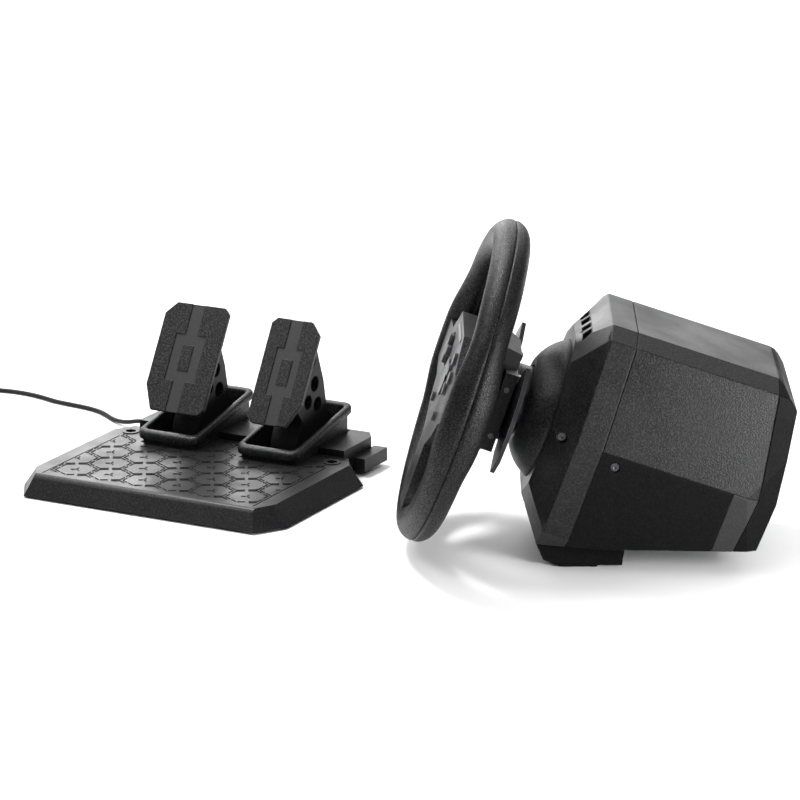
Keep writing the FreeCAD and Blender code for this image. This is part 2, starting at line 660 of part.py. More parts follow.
def make_foot_plate():
    top = [Vector(x, y, PLATE_TOP) for x, y in PLATE_TOP_OUTLINE]
    foot = [Vector(x, y, PLATE_FOOT) for x, y in PLATE_FOOT_OUTLINE]
    solid = Part.makeLoft([closed_wire(foot), closed_wire(top)], True, True)
    front_edge = [e for e in solid.Edges if is_edge_between(e, top[0], top[1])]
    solid = solid.makeFillet(FRONT_EDGE_ROUND, front_edge)
    inner_top = [Vector(x, y, PLATE_TOP - WALL) for x, y in inset(PLATE_TOP_OUTLINE, WALL)]
    inner_foot = [Vector(x, y, PLATE_FOOT - 0.1) for x, y in inset(PLATE_FOOT_OUTLINE, WALL)]
    hollow = Part.makeLoft([closed_wire(inner_foot), closed_wire(inner_top)], True, True)
    plate = solid.cut(hollow)
    for x, y in BOLT_PLACES:
        plate = plate.fuse(rod(BOLT_BOSS_RADIUS, PLATE_FOOT, PLATE_TOP + 0.8, "z", (x, y)))
    for x in RAIL_GROOVES:
        plate = plate.cut(box((x, x + GROOVE_WIDTH), (6, 134), (PLATE_TOP - 1.0, PLATE_TOP + 1)))
    for x in (BRAKE_X, GAS_X):
        plate = plate.cut(housing_prism(x))
    for x, y in BOLT_PLACES:
        plate = plate.cut(rod(BOLT_RADIUS, 0, 30, "z", (x, y)))
        hexagon = []
        for i in range(6):
            angle = math.radians(60 * i)
            hexagon.append((x + BOLT_HEXAGON * math.cos(angle), y + BOLT_HEXAGON * math.sin(angle)))
        plate = plate.cut(prism_z(hexagon, PLATE_TOP - WALL, PLATE_TOP + 2))
    keep("foot_plate", plate.copy(), PEDALS)
    return plate


def is_edge_between(edge, start, end):
    ends = [v.Point for v in edge.Vertexes]
    return len(ends) == 2 and (
        (ends[0].distanceToPoint(start) < 0.01 and ends[1].distanceToPoint(end) < 0.01)
        or (ends[1].distanceToPoint(start) < 0.01 and ends[0].distanceToPoint(end) < 0.01))


def make_pedal_chassis():
    x0, x1, y0, y1 = CHASSIS
    outline = [(x0, y0), (x1, y0), (x1, y1 - 12), (x1 - 8, y1), (x0 + 8, y1), (x0, y1 - 12)]
    shape = prism_z(outline, COVER_TOP, CHASSIS_TOP)
    shape = shape.cut(prism_z(inset(outline, WALL), 0, CHASSIS_TOP - WALL))
    ledge = box((x1 - 1, x1 + 12), (184, 226), (COVER_TOP, 16))
    shape = shape.fuse(ledge.cut(box((x1 - 5, x1 + 9), (187, 223), (0, 13))))
    for x in (BRAKE_X, GAS_X):
        shape = shape.cut(housing_prism(x))
    shape = shape.cut(rod(3.5, 0, 12, "x", (CORD_EXIT.y, CORD_EXIT.z)))
    keep("pedal_chassis", shape, PEDALS)


def make_bottom_cover(plate):
    x0, x1, y0, y1 = CHASSIS
    cover = prism_z(inset(PLATE_TOP_OUTLINE, -5.0), PLATE_FOOT, COVER_TOP)
    cover = cover.common(box((-50, 300), (-50, y0 - 0.6), (0, 10)))
    tail = [(x0, 150), (x1, 150), (x1, y1 - 12), (x1 - 8, y1), (x0 + 8, y1), (x0, y1 - 12)]
    cover = cover.fuse(prism_z(tail, PLATE_FOOT, COVER_TOP))
    for x, y in BOLT_PLACES:
        cover = cover.cut(rod(BOLT_BOSS_RADIUS + GAP, 0, 10, "z", (x, y)))
    keep("bottom_cover", cover.cut(plate), PEDALS)


def make_pedal_feet():
    places = [(12, 16), (204, 16), (-6, 120), (222, 120), (20, 216), (196, 216), (108, 16)]
    discs = [rod(9.0, 0, PLATE_FOOT, "z", place) for place in places]
    keep("pedal_feet", group(discs), PEDALS)


def make_housing(name, x):
    body = prism_x([(127, 4), (227, 4), (227, 44), (127, 26)], x - HOUSING_HALF, x + HOUSING_HALF)
    rim = prism_x([(123, 24), (231, 43.4), (231, 49), (226, 50), (128, 32), (123, 29.5)],
                  x - RIM_HALF, x + RIM_HALF)
    shape = body.fuse(rim)
    shape = shape.cut(box((x - 25, x + 25), (130, 224), (7, 60)))
    shape = shape.cut(rod(PEDAL_PIN_RADIUS, x - 40, x + 40, "x", PIVOT))
    keep(name, shape, PEDALS)


def face_frame(x):
    """A frame on the pedal face's front: X across, Z up the face, Y through it."""
    turn = Rotation(Vector(1, 0, 0), -FACE_TILT)
    return Placement(Vector(x, FACE_CENTRE[0], FACE_CENTRE[1]), turn)


def make_face(kind, x, side):
    """A flat pedal face; its outer side, given by its sign, has the two large cut corners."""
    half_w = FACE_WIDTH[kind] / 2
    half_h = FACE_HEIGHT[kind] / 2
    soft = FACE_SOFT_CORNER
    outline = [
        (side * half_w, half_h - FACE_CUT_TOP),
        (side * (half_w - FACE_CUT_ACROSS), half_h),
        (-side * (half_w - soft), half_h),
        (-side * half_w, half_h - soft),
        (-side * half_w, -half_h + soft),
        (-side * (half_w - soft), -half_h),
        (side * (half_w - FACE_CUT_ACROSS), -half_h),
        (side * half_w, -half_h + FACE_CUT_BOTTOM),
    ]
    plate = prism_y(outline, 0, FACE_THICK)
    plate.Placement = face_frame(x)
    keep(kind + "_face", plate, PEDALS)


ARM_POCKETS = [(171, 82, 8), (185, 98, 7), (190, 76, 7), (178, 62, 6.5), (195, 56, 7)]


def make_arm(kind, x):
    """A curved ramp round the pivot with a ribbed arm above it, which carries the face."""
    py, pz = PIVOT
    sector = [(py - 40, pz - 6), (py + 4, pz - 6), (py + 30, pz + 4), (py + 20, pz + 60),
              (py - 40, pz + 60)]
    ramp = rod(34.0, x - ARM_HALF, x + ARM_HALF, "x", PIVOT)
    ramp = ramp.common(prism_x(sector, x - 20, x + 20))
    outline = [(py - 20, pz + 24), (149, 68.9), (180, 119.8), (191, 115), (206, 76), (214, 40),
               (204, pz + 10)]
    upper = prism_x(outline, x - ARM_HALF, x + ARM_HALF)
    arm = ramp.fuse([upper, rod(7.5, x - 22, x + 22, "x", PIVOT)])
    for y, z, radius in ARM_POCKETS:
        for start in (x - ARM_HALF - 1, x + ARM_HALF - 9):
            arm = arm.cut(rod(radius, start, start + 10, "x", (y, z)))
    slab = box((-40, 40), (-20, FACE_THICK), (-80, 80))
    slab.Placement = face_frame(x)
    arm = arm.cut(slab)
    arm = arm.cut(rod(PEDAL_PIN_RADIUS + RUNNING, x - 40, x + 40, "x", PIVOT))
    keep(kind + "_arm", arm, PEDALS)


def make_pedal_inside():
    pins = []
    springs = []
    boards = []
    py, pz = PIVOT
    for x in (BRAKE_X, GAS_X):
        pins.append(rod(PEDAL_PIN_RADIUS, x - HOUSING_HALF, x + HOUSING_HALF, "x", PIVOT))
        for i in range(3):
            turn = Part.makeTorus(9.4, 0.9, Vector(x - 15.0 - 2.0 * i, py, pz), Vector(1, 0, 0))
            springs.append(turn)
        board = box((x + 22.4, x + 24.9), (py - 10, py + 10), (8, 34))
        boards.append(board.cut(rod(PEDAL_PIN_RADIUS + RUNNING, x, x + 40, "x", PIVOT)))
    keep("pedal_pins", group(pins), PEDALS)
    keep("pedal_springs", group(springs), PEDALS)
    keep("pedal_sensors", group(boards), PEDALS)


# ---------------------------------------------------------------- cord (pedal frame)
def rounded_path(points):
    """Straight runs joined by tangent arcs, each as large as its two runs allow."""
    edges = []
    start = points[0]
    for i in range(1, len(points) - 1):
        before = points[i] - points[i - 1]
        after = points[i + 1] - points[i]
        run = min(before.Length, after.Length)
        turn = before.getAngle(after)
        trim = 0.45 * run
        enter = points[i] - before.normalize() * trim
        leave = points[i] + after.normalize() * trim
        radius = trim / math.tan(turn / 2)
        middle_way = (leave - points[i]).normalize() + (enter - points[i]).normalize()
        to_centre = math.hypot(trim, radius)
        middle = points[i] + middle_way.normalize() * (to_centre - radius)
        edges.append(Part.LineSegment(start, enter).toShape())
        edges.append(Part.Arc(enter, middle, leave).toShape())
        start = leave
    edges.append(Part.LineSegment(start, points[-1]).toShape())
    return Part.Wire(edges)


def coil_centre():
    """The coil lies to the left of the run's end, which touches its outside."""
    bearing = math.radians(COIL_BEARING)
    outer = COIL_MEAN_RADIUS + COIL_HALF_BAND
    end = CORD_ROUTE[-1]
    return Vector(end.x + outer * math.cos(bearing), end.y + outer * math.sin(bearing), 0)


def make_cord():
    path = rounded_path(CORD_ROUTE)
    first = CORD_ROUTE[1] - CORD_ROUTE[0]
    section = Part.Wire([Part.Circle(CORD_ROUTE[0], first, CORD_DIAMETER / 2).toShape()])
    cord = path.makePipeShell([section], True, False)
    centre = coil_centre()
    outer = COIL_MEAN_RADIUS + COIL_HALF_BAND
    inner = COIL_MEAN_RADIUS - COIL_HALF_BAND
    coil = tube(outer, inner, 0.1, COIL_HEIGHT, "z", (centre.x, centre.y))
    keep("cord_run", cord.cut(coil), PEDALS)
    keep("cord_coil", coil, PEDALS)
    length, width, height = PLUG_SIZE
    plug = box((0, length), (-width / 2, width / 2), (0, height))
    plug = plug.fuse(box((length - 12, length - 2), (-2.6, 2.6), (height, height + 1.2)))
    plug.Placement = Placement(Vector(centre.x + COIL_MEAN_RADIUS, centre.y - 4.0, COIL_HEIGHT),
                               Rotation(Vector(0, 0, 1), 120))
    keep("cord_plug", plug, PEDALS)
    gland = Part.makeCone(3.0, 4.6, CHASSIS[0] - GLAND_TIP, CORD_EXIT, Vector(1, 0, 0))
    stem = rod(3.4, CHASSIS[0] - 1, CHASSIS[0] + 5, "x", (CORD_EXIT.y, CORD_EXIT.z))
    keep("cord_gland", gland.fuse(stem), PEDALS)


# ---------------------------------------------------------------- everything
def main():
    make_wheel_frame()
    make_rim_shells()
    make_faceplate()
    make_faceplate_fittings()
    make_buttons()
    make_dpad()
    make_hub_rear_cover()
    make_paddle_carriers()
    make_paddles()
    make_column()
    make_driven_pulley()
    make_nose_cone()
    make_casing()
    make_sockets()
    make_front_block()
    make_base_feet()
    make_bearing_frame()
    make_bearings()
    make_motor()
    make_drive_belt()
    make_main_pcb()
    foot_plate = make_foot_plate()
    make_pedal_chassis()
    make_bottom_cover(foot_plate)
    make_pedal_feet()
    make_housing("brake_housing", BRAKE_X)
    make_housing("gas_housing", GAS_X)
    make_face("brake", BRAKE_X, -1)
    make_face("gas", GAS_X, 1)
    make_arm("brake", BRAKE_X)
    make_arm("gas", GAS_X)
    make_pedal_inside()
    make_cord()
    os.makedirs("parts", exist_ok=True)
    for name, shape in NODES.items():
        shape.exportStep("parts/" + name + ".step")
        print(name, "solids:", len(shape.Solids), "valid:", shape.isValid(),
              "ml:", round(shape.Volume / 1000, 2))


main()
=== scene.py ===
import math

import bmesh
import bpy
from mathutils import Matrix, Vector


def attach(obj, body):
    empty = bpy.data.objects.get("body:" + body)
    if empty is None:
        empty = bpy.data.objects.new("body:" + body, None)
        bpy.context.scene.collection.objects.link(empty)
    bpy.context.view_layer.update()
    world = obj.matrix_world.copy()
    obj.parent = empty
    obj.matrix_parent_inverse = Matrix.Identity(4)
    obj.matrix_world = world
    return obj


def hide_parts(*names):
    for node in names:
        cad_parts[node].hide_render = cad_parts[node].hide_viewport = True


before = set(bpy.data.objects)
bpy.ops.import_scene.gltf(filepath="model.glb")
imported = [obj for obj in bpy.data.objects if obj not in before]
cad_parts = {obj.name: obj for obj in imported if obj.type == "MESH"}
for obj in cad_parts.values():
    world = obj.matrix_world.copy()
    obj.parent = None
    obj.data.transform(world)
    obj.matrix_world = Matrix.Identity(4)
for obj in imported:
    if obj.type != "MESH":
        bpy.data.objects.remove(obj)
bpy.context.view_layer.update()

# The looks of the racing-wheel set.  Camera, lights and floor are placed in metres.  Everything
# else is drawn in millimetres, in the frame of the wheel's head or of the pedal set, and HEAD and
# PEDALS put it into the shared frame in metres.
SCENE = bpy.context.scene

AXIS_TILT = math.radians(18.6)
RIM_CENTRE = (0.0, -95.0, 143.7)
PEDAL_TURN = math.radians(62.0)
PEDAL_ORIGIN = (-140.0, -462.0, 0.0)
TO_METRES = Matrix.Scale(0.001, 4)
HEAD = TO_METRES @ Matrix.Translation(RIM_CENTRE) @ Matrix.Rotation(-AXIS_TILT, 4, "X")
PEDALS = TO_METRES @ Matrix.Translation(PEDAL_ORIGIN) @ Matrix.Rotation(PEDAL_TURN, 4, "Z")


# ---------------------------------------------------------------- camera, light and floor
CAMERA_TARGET = Vector((0.0, -0.147, 0.1265))
CAMERA_ELEVATION = math.radians(16.0)
CAMERA_DISTANCE = 4.0
CAMERA_LENS = 217.0
WORLD_STRENGTH = 0.14
FLOOR_REACH = 12.0

# Name, place, target, size in metres and power in watts of each soft box.
LIGHTS = (
    ("ceiling", (-0.3, -0.1, 2.8), (-0.3, -0.1, 0.0), (9.0, 9.0), 200.0),
    ("back", (-2.7, -0.3, 1.2), (0.0, -0.2, 0.1), (3.0, 1.4), 34.0),
    ("kicker", (0.60, 0.46, 0.22), (0.2, 0.12, 0.0), (0.25, 0.25), 7.5),
    ("left", (0.2, -1.6, 2.0), (0.0, -0.2, 0.15), (0.6, 0.6), 12.0),
    ("key", (-0.9, -0.8, 2.1), (0.0, -0.1, 0.2), (0.5, 0.5), 48.0),
    ("glare", (-2.2, -0.75, 0.62), (-0.3, -0.42, 0.0), (0.9, 0.5), 6.0),
)


def make_camera():
    camera = bpy.data.objects.new("camera", bpy.data.cameras.new("camera"))
    SCENE.collection.objects.link(camera)
    back = Vector((math.cos(CAMERA_ELEVATION), 0.0, math.sin(CAMERA_ELEVATION)))
    camera.location = CAMERA_TARGET + back * CAMERA_DISTANCE
    camera.rotation_euler = (-back).to_track_quat("-Z", "Y").to_euler()
    camera.data.lens = CAMERA_LENS
    camera.data.clip_start = 0.05
    SCENE.camera = camera


def area_light(name, place, target, size, power):
    data = bpy.data.lights.new(name, "AREA")
    data.shape = "RECTANGLE"
    data.size, data.size_y = size
    data.energy = power
    light = bpy.data.objects.new(name, data)
    light.location = place
    aim = Vector(target) - Vector(place)
    light.rotation_euler = aim.to_track_quat("-Z", "Y").to_euler()
    SCENE.collection.objects.link(light)


def make_studio():
    for light in LIGHTS:
        area_light(*light)
    world = bpy.data.worlds.new("studio")
    world.use_nodes = True
    background = world.node_tree.nodes["Background"]
    background.inputs["Color"].default_value = (1.0, 1.0, 1.0, 1.0)
    background.inputs["Strength"].default_value = WORLD_STRENGTH
    SCENE.world = world
    SCENE.view_settings.view_transform = "Standard"
    signs = ((-1, -1), (1, -1), (1, 1), (-1, 1))
    corners = [(sx * FLOOR_REACH, sy * FLOOR_REACH, 0) for sx, sy in signs]
    floor = new_mesh("floor", corners, [(0, 1, 2, 3)], [pale_floor()])


# ---------------------------------------------------------------- materials
# A Mix node's sockets for its types share their names, so the colour ones are named by place.
MIX_FACTOR = 0
MIX_FIRST = 6
MIX_SECOND = 7
MIX_RESULT = 2
BARE_METAL = (0.45, 0.45, 0.46, 1.0)
WEAR_SIZE = 0.7
WEAR_MOST = 0.3
LEATHER = (0.005, 0.005, 0.0053)
PEBBLES_PER_METRE = 560.0
PEBBLE_SHIFT = 0.0009


class Nodes:
    """A new material with short calls for its nodes; sizes are in millimetres."""

    def __init__(self, name):
        self.material = bpy.data.materials.new(name)
        self.material.use_nodes = True
        self.tree = self.material.node_tree
        self.shader = self.tree.nodes["Principled BSDF"]

    def add(self, kind, inputs=(), **settings):
        node = self.tree.nodes.new(kind)
        for key, value in settings.items():
            setattr(node, key, value)
        for socket, value in dict(inputs).items():
            self.feed(node, socket, value)
        return node

    def feed(self, node, socket, value):
        if isinstance(value, bpy.types.NodeSocket):
            self.tree.links.new(value, node.inputs[socket])
        else:
            node.inputs[socket].default_value = value

    def place(self):
        return self.add("ShaderNodeTexCoord").outputs["Object"]

    def noise(self, size, detail=2.0, roughness=0.5):
        """Noise with grains of about this size."""
        settings = {"Vector": self.place(), "Scale": 1000.0 / size, "Detail": detail}
        settings["Roughness"] = roughness
        return self.add("ShaderNodeTexNoise", settings).outputs["Fac"]

    def ranged(self, value, low, high, to_low, to_high):
        settings = {"Value": value, "From Min": low, "From Max": high}
        settings.update({"To Min": to_low, "To Max": to_high})
        return self.add("ShaderNodeMapRange", settings).outputs["Result"]

    def mixed(self, factor, first, second):
        node = self.add("ShaderNodeMix", data_type="RGBA")
        self.feed(node, MIX_FACTOR, factor)
        self.feed(node, MIX_FIRST, first)
        self.feed(node, MIX_SECOND, second)
        return node.outputs[MIX_RESULT]

    def maths(self, first, second, operation="MULTIPLY"):
        node = self.add("ShaderNodeMath", operation=operation)
        self.feed(node, 0, first)
        self.feed(node, 1, second)
        return node.outputs[0]

    def edges(self, radius):
        """1 along sharp outer edges, 0 on flats, for wear."""
        settings = {"Radius": radius * 0.001}
        rounded = self.add("ShaderNodeBevel", settings, samples=4).outputs["Normal"]
        flat = self.add("ShaderNodeNewGeometry").outputs["Normal"]
        node = self.add("ShaderNodeVectorMath", operation="DOT_PRODUCT")
        self.feed(node, 0, rounded)
        self.feed(node, 1, flat)
        return self.ranged(node.outputs["Value"], 0.99, 0.90, 0.0, 1.0)

    def bump(self, height, depth):
        """A bump on the shader whose full height is this depth."""
        settings = {"Height": height, "Distance": depth * 0.001, "Strength": 1.0}
        node = self.add("ShaderNodeBump", settings)
        self.feed(self.shader, "Normal", node.outputs["Normal"])


def scaled(colour, factor):
    """A colour made darker or lighter, with its alpha."""
    return (colour[0] * factor, colour[1] * factor, colour[2] * factor, 1.0)


def moulded_plastic(name, colour, rough, grain, depth, shine=0.3, glint_speck=2.0):
    """Injection-moulded plastic: spark-eroded grain whose paler flecks are painted glints, cloudy
    sheen, rubbed edges.
    """
    n = Nodes(name)
    fine = n.noise(grain, 2.0, 0.6)
    cloud = n.noise(38.0, 3.0)
    base = n.mixed(cloud, scaled(colour, 0.75), scaled(colour, 1.25))
    # The grain's paler flecks are painted glints: light caught by the grain, painted into the
    # colour.
    glint_speckled = n.mixed(n.ranged(fine, 0.46, 0.64, 0.0, 1.0), base, scaled(colour, glint_speck))
    rubbed = n.maths(n.edges(WEAR_SIZE), n.ranged(n.noise(9.0), 0.42, 0.62, 0.1, WEAR_MOST))
    n.feed(n.shader, "Base Color", n.mixed(rubbed, glint_speckled, scaled(colour, 4.0)))
    smudge = n.ranged(cloud, 0.3, 0.7, rough - 0.07, rough + 0.07)
    n.feed(n.shader, "Roughness", n.maths(smudge, n.ranged(rubbed, 0.0, 1.0, 1.0, 0.75)))
    n.shader.inputs["Specular IOR Level"].default_value = shine
    n.bump(fine, depth)
    return n.material


def rim_leather():
    """Pebbled grip: cells of about a millimetre with soft creases painted darker as shade, worn
    where hands hold.
    """
    n = Nodes("rim_leather")
    warped = n.add("ShaderNodeVectorMath", operation="ADD")
    n.feed(warped, 0, n.place())
    shift = n.add("ShaderNodeTexNoise", {"Vector": n.place(), "Scale": 600.0, "Detail": 2.0})
    small = n.add("ShaderNodeVectorMath", operation="SCALE")
    n.feed(small, 0, shift.outputs["Color"])
    small.inputs["Scale"].default_value = PEBBLE_SHIFT
    n.feed(warped, 1, small.outputs["Vector"])
    settings = {"Vector": warped.outputs["Vector"], "Scale": PEBBLES_PER_METRE}
    cells = n.add("ShaderNodeTexVoronoi", settings, feature="DISTANCE_TO_EDGE").outputs["Distance"]
    pebble = n.ranged(cells, 0.0, 0.35, 0.0, 1.0)
    pores = n.noise(0.35, 2.0)
    height = n.maths(pebble, n.maths(pores, 0.25), "ADD")
    worn = n.noise(55.0, 2.0)
    shade = n.mixed(worn, scaled(LEATHER, 0.75), scaled(LEATHER, 1.5))
    # The creases between the pebbles are painted much darker: painted shade in the creases.
    n.feed(n.shader, "Base Color", n.mixed(pebble, scaled(LEATHER, 0.2), shade))
    sheen = n.ranged(worn, 0.3, 0.7, 0.27, 0.37)
    n.feed(n.shader, "Roughness", n.maths(sheen, n.ranged(pebble, 0.0, 1.0, 1.5, 1.0)))
    n.feed(n.shader, "Specular IOR Level", n.ranged(pebble, 0.0, 1.0, 0.12, 0.42))
    n.bump(height, 0.14)
    return n.material


def coated_metal(name, colour, rough, rub=0.7):
    """Metal with a satin coat, fine blasting and bright rubbed edges."""
    n = Nodes(name)
    fine = n.noise(0.5, 3.0, 0.7)
    cloud = n.noise(22.0)
    base = n.mixed(cloud, scaled(colour, 0.8), scaled(colour, 1.2))
    rubbed = n.maths(n.edges(0.5), n.ranged(n.noise(5.0), 0.4, 0.6, rub * 0.2, rub))
    n.feed(n.shader, "Base Color", n.mixed(rubbed, base, BARE_METAL))
    n.feed(n.shader, "Roughness", n.ranged(fine, 0.3, 0.7, rough - 0.06, rough + 0.08))
    n.shader.inputs["Metallic"].default_value = 1.0
    n.bump(fine, 0.02)
    return n.material


def moulded_rubber(name, colour):
    """Matt rubber or soft vinyl with a fine grain and cloudy colour."""
    n = Nodes(name)
    fine = n.noise(0.7, 4.0, 0.7)
    cloud = n.noise(14.0, 3.0)
    n.feed(n.shader, "Base Color", n.mixed(cloud, scaled(colour, 0.7), scaled(colour, 1.7)))
    n.feed(n.shader, "Roughness", n.ranged(cloud, 0.3, 0.7, 0.5, 0.66))
    n.shader.inputs["Specular IOR Level"].default_value = 0.25
    n.bump(fine, 0.05)
    return n.material


def circuit_board():
    """Green board with paler lines of track."""
    n = Nodes("circuit_board")
    settings = {"Vector": n.place(), "Scale": 420.0}
    tracks = n.add("ShaderNodeTexVoronoi", settings, distance="MANHATTAN")
    lines = n.ranged(tracks.outputs["Distance"], 0.45, 0.5, 0.0, 1.0)
    n.feed(n.shader, "Base Color", n.mixed(lines, (0.01, 0.07, 0.03, 1), (0.05, 0.2, 0.08, 1)))
    n.feed(n.shader, "Roughness", n.ranged(lines, 0.0, 1.0, 0.45, 0.3))
    n.bump(lines, 0.04)
    return n.material


def smoked_lens():
    """The dark window over the unlit lamps."""
    n = Nodes("smoked_lens")
    cells = n.noise(3.0)
    n.feed(n.shader, "Base Color", n.mixed(cells, (0.02, 0.02, 0.025, 1), (0.06, 0.06, 0.07, 1)))
    n.feed(n.shader, "Roughness", n.ranged(cells, 0.3, 0.7, 0.3, 0.38))
    n.bump(cells, 0.01)
    return n.material


def pale_floor():
    n = Nodes("pale_floor")
    shade = n.mixed(n.noise(400.0), (0.86, 0.86, 0.86, 1), (0.9, 0.9, 0.9, 1))
    n.feed(n.shader, "Base Color", shade)
    n.feed(n.shader, "Roughness", n.ranged(n.noise(90.0), 0.3, 0.7, 0.55, 0.65))
    return n.material


def black(share):
    """The set's black plastic, darker or lighter by this share."""
    return (0.010 * share, 0.010 * share, 0.0105 * share)


# Plastics: name, colour, roughness, grain's size and depth; metals: name, colour, roughness.
MATERIALS = {
    "shell": moulded_plastic("shell_grain", black(0.5), 0.38, 1.4, 0.2, shine=0.18, glint_speck=3.8),
    # A copy of the shell plastic with its colour painted darker as shade and less shine, for the
    # lower shell, the rear cap and the front block.
    "painted_shade_black": moulded_plastic("painted_shade_grain", black(0.3), 0.46, 1.5, 0.08, shine=0.05),
    "rough": moulded_plastic("coarse_grain", black(0.9), 0.42, 1.4, 0.32, shine=0.2, glint_speck=4.8),
    "plate": moulded_plastic("plate_grain", black(0.9), 0.36, 1.4, 0.16, shine=0.2, glint_speck=2.6),
    "smooth": moulded_plastic("smooth_black", black(0.9), 0.42, 1.0, 0.02, shine=0.15),
    "strip": moulded_plastic("strip_plastic", black(2.4), 0.40, 1.0, 0.03, shine=0.35, glint_speck=1.5),
    "gloss": moulded_plastic("gloss_black", black(0.6), 0.36, 2.0, 0.006, shine=0.25),
    "grey": moulded_plastic("dark_grey", (0.013, 0.013, 0.0135), 0.38, 0.8, 0.03, shine=0.2),
    "core": moulded_plastic("core_plastic", (0.03, 0.03, 0.03), 0.5, 1.1, 0.06),
    "buttons": moulded_plastic("button_plastic", (0.05, 0.05, 0.053), 0.42, 0.8, 0.01, shine=0.2),
    "leather": rim_leather(),
    "metal": coated_metal("black_metal", (0.035, 0.035, 0.037), 0.36, rub=0.35),
    "screw": coated_metal("black_screw", (0.05, 0.05, 0.052), 0.3, rub=0.08),
    "steel": coated_metal("steel", (0.42, 0.42, 0.43), 0.3),
    "alloy": coated_metal("cast_alloy", (0.5, 0.5, 0.52), 0.45),
    "rubber": moulded_rubber("black_rubber", (0.017, 0.017, 0.017)),
    "cable": moulded_rubber("cable_jacket", (0.013, 0.013, 0.013)),
    "board": circuit_board(),
    "lens": smoked_lens(),
}


# ---------------------------------------------------------------- mesh tools
WELD_REACH = 0.00001
FLAT_ANGLE = math.radians(0.6)
SHARP_ANGLE = math.radians(33)
BEVEL_SEGMENTS = 2


def new_mesh(name, points, faces, materials, smooth=False):
    mesh = bpy.data.meshes.new(name)
    mesh.from_pydata([tuple(p) for p in points], [], faces)
    for material in materials:
        mesh.materials.append(material)
    mesh.polygons.foreach_set("use_smooth", [smooth] * len(mesh.polygons))
    mesh.update()
    obj = bpy.data.objects.new(name, mesh)
    SCENE.collection.objects.link(obj)
    return obj


def soften(obj, width, clean=False, clamp=True):
    """Rounded edges that catch the light; clean first merges flat triangles."""
    weld = obj.modifiers.new("weld", "WELD")
    weld.merge_threshold = WELD_REACH
    if clean:
        flatten = obj.modifiers.new("flatten", "DECIMATE")
        flatten.decimate_type = "DISSOLVE"
        flatten.angle_limit = FLAT_ANGLE
    bevel = obj.modifiers.new("bevel", "BEVEL")
    bevel.width = width * 0.001
    bevel.segments = BEVEL_SEGMENTS
    bevel.limit_method = "ANGLE"
    bevel.angle_limit = SHARP_ANGLE
    bevel.use_clamp_overlap = clamp
    normals = obj.modifiers.new("normals", "WEIGHTED_NORMAL")
    normals.keep_sharp = True


def finish_node(name, material, bevel=0.0, clamp=True):
    """Give a CAD node its material and, if asked, softened edges."""
    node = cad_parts[name]
    for part in node.material_slots:
        part.material = MATERIALS[material]
    if bevel:
        soften(node, bevel, clean=True, clamp=clamp)


def settle(obj, matrix, body, slot, *nodes):
    """Put a drawn piece into the shared frame and on its body, in place of any nodes named."""
    obj.data.transform(matrix)
    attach(obj, body)
    if nodes:
        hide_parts(*nodes)
    return obj


class Builder:
    """Collects closed solids of several materials into one mesh."""

    def __init__(self):
        self.points = []
        self.faces = []
        self.looks = []

    def loops(self, rings, look=0, closed_round=False):
        """Skin equal rings of points; the two ends are capped unless the skin closes on itself."""
        start = len(self.points)
        size = len(rings[0])
        count = len(rings)
        for ring in rings:
            self.points.extend(ring)
        last = count if closed_round else count - 1
        for i in range(last):
            for k in range(size):
                a = start + i * size + k
                b = start + i * size + (k + 1) % size
                c = start + (i + 1) % count * size + (k + 1) % size
                d = start + (i + 1) % count * size + k
                self.faces.append((a, b, c, d))
                self.looks.append(look)
        if not closed_round:
            self.faces.append(tuple(start + k for k in reversed(range(size))))
            self.faces.append(tuple(start + (count - 1) * size + k for k in range(size)))
            self.looks += [look, look]

    def slab(self, outline, low, high, look=0):
        """An outline in X and Z drawn out between two levels of Y."""
        self.loops([[(u, level, v) for u, v in outline] for level in (low, high)], look)

    def build(self, name, materials, smooth=False):
        obj = new_mesh(name, self.points, self.faces, [MATERIALS[m] for m in materials], smooth)
        obj.data.polygons.foreach_set("material_index", self.looks)
        fix_normals(obj)
        return obj


def fix_normals(obj):
    mesh = bmesh.new()
    mesh.from_mesh(obj.data)
    bmesh.ops.recalc_face_normals(mesh, faces=mesh.faces)
    mesh.to_mesh(obj.data)
    mesh.free()


# ---------------------------------------------------------------- wheel
RIM_RADIUS = 124.2
RIM_TUBE = 15.5
RIM_STEPS = 288
SECTION_STEPS = 26
SPOKE_FULLNESS = 3.4
SPOKE_SPREAD = 0.06
THUMB_DIP = 0.8
THUMB_HEIGHT = 0.55
THUMB_SPREAD = 0.12
SEAM_DEPTH = 0.7
SEAM_WIDTH = 0.7
SEAM_HALF_GAP = 0.08


def rim_depth(angle):
    """Half the rim's depth along the shaft: fuller by the spokes at three and nine o'clock, and
    thinner above them for the thumbs."""
    side = abs(math.cos(angle))
    fuller = SPOKE_FULLNESS * math.exp(-((1.0 - side) / SPOKE_SPREAD) ** 2)
    thumb = THUMB_DIP * math.exp(-((math.sin(angle) - THUMB_HEIGHT) / THUMB_SPREAD) ** 2)
    return RIM_TUBE + fuller - thumb


def rim_section(angle, sign):
    """Half of the rim's section as (radius, t) points, from the outer seam to the inner one."""
    points = []
    for i in range(SECTION_STEPS + 1):
        turn = math.pi * i / SECTION_STEPS
        ease = min(turn, math.pi - turn) * RIM_TUBE
        groove = SEAM_DEPTH * math.exp(-((ease / SEAM_WIDTH) ** 2))
        reach = RIM_TUBE - groove
        depth = (rim_depth(angle) - groove) * math.sin(turn)
        points.append((RIM_RADIUS + reach * math.cos(turn), sign * (SEAM_HALF_GAP + depth)))
    return points


def make_rim_half(name, sign, node):
    rings = []
    for k in range(RIM_STEPS):
        angle = 2 * math.pi * k / RIM_STEPS
        ring = []
        for radius, t in rim_section(angle, sign):
            ring.append((radius * math.cos(angle), t, radius * math.sin(angle)))
        rings.append(ring)
    builder = Builder()
    builder.loops(rings, closed_round=True)
    half = builder.build(name, ["leather"], smooth=True)
    settle(half, HEAD, "wheel", "rim_grip", node)


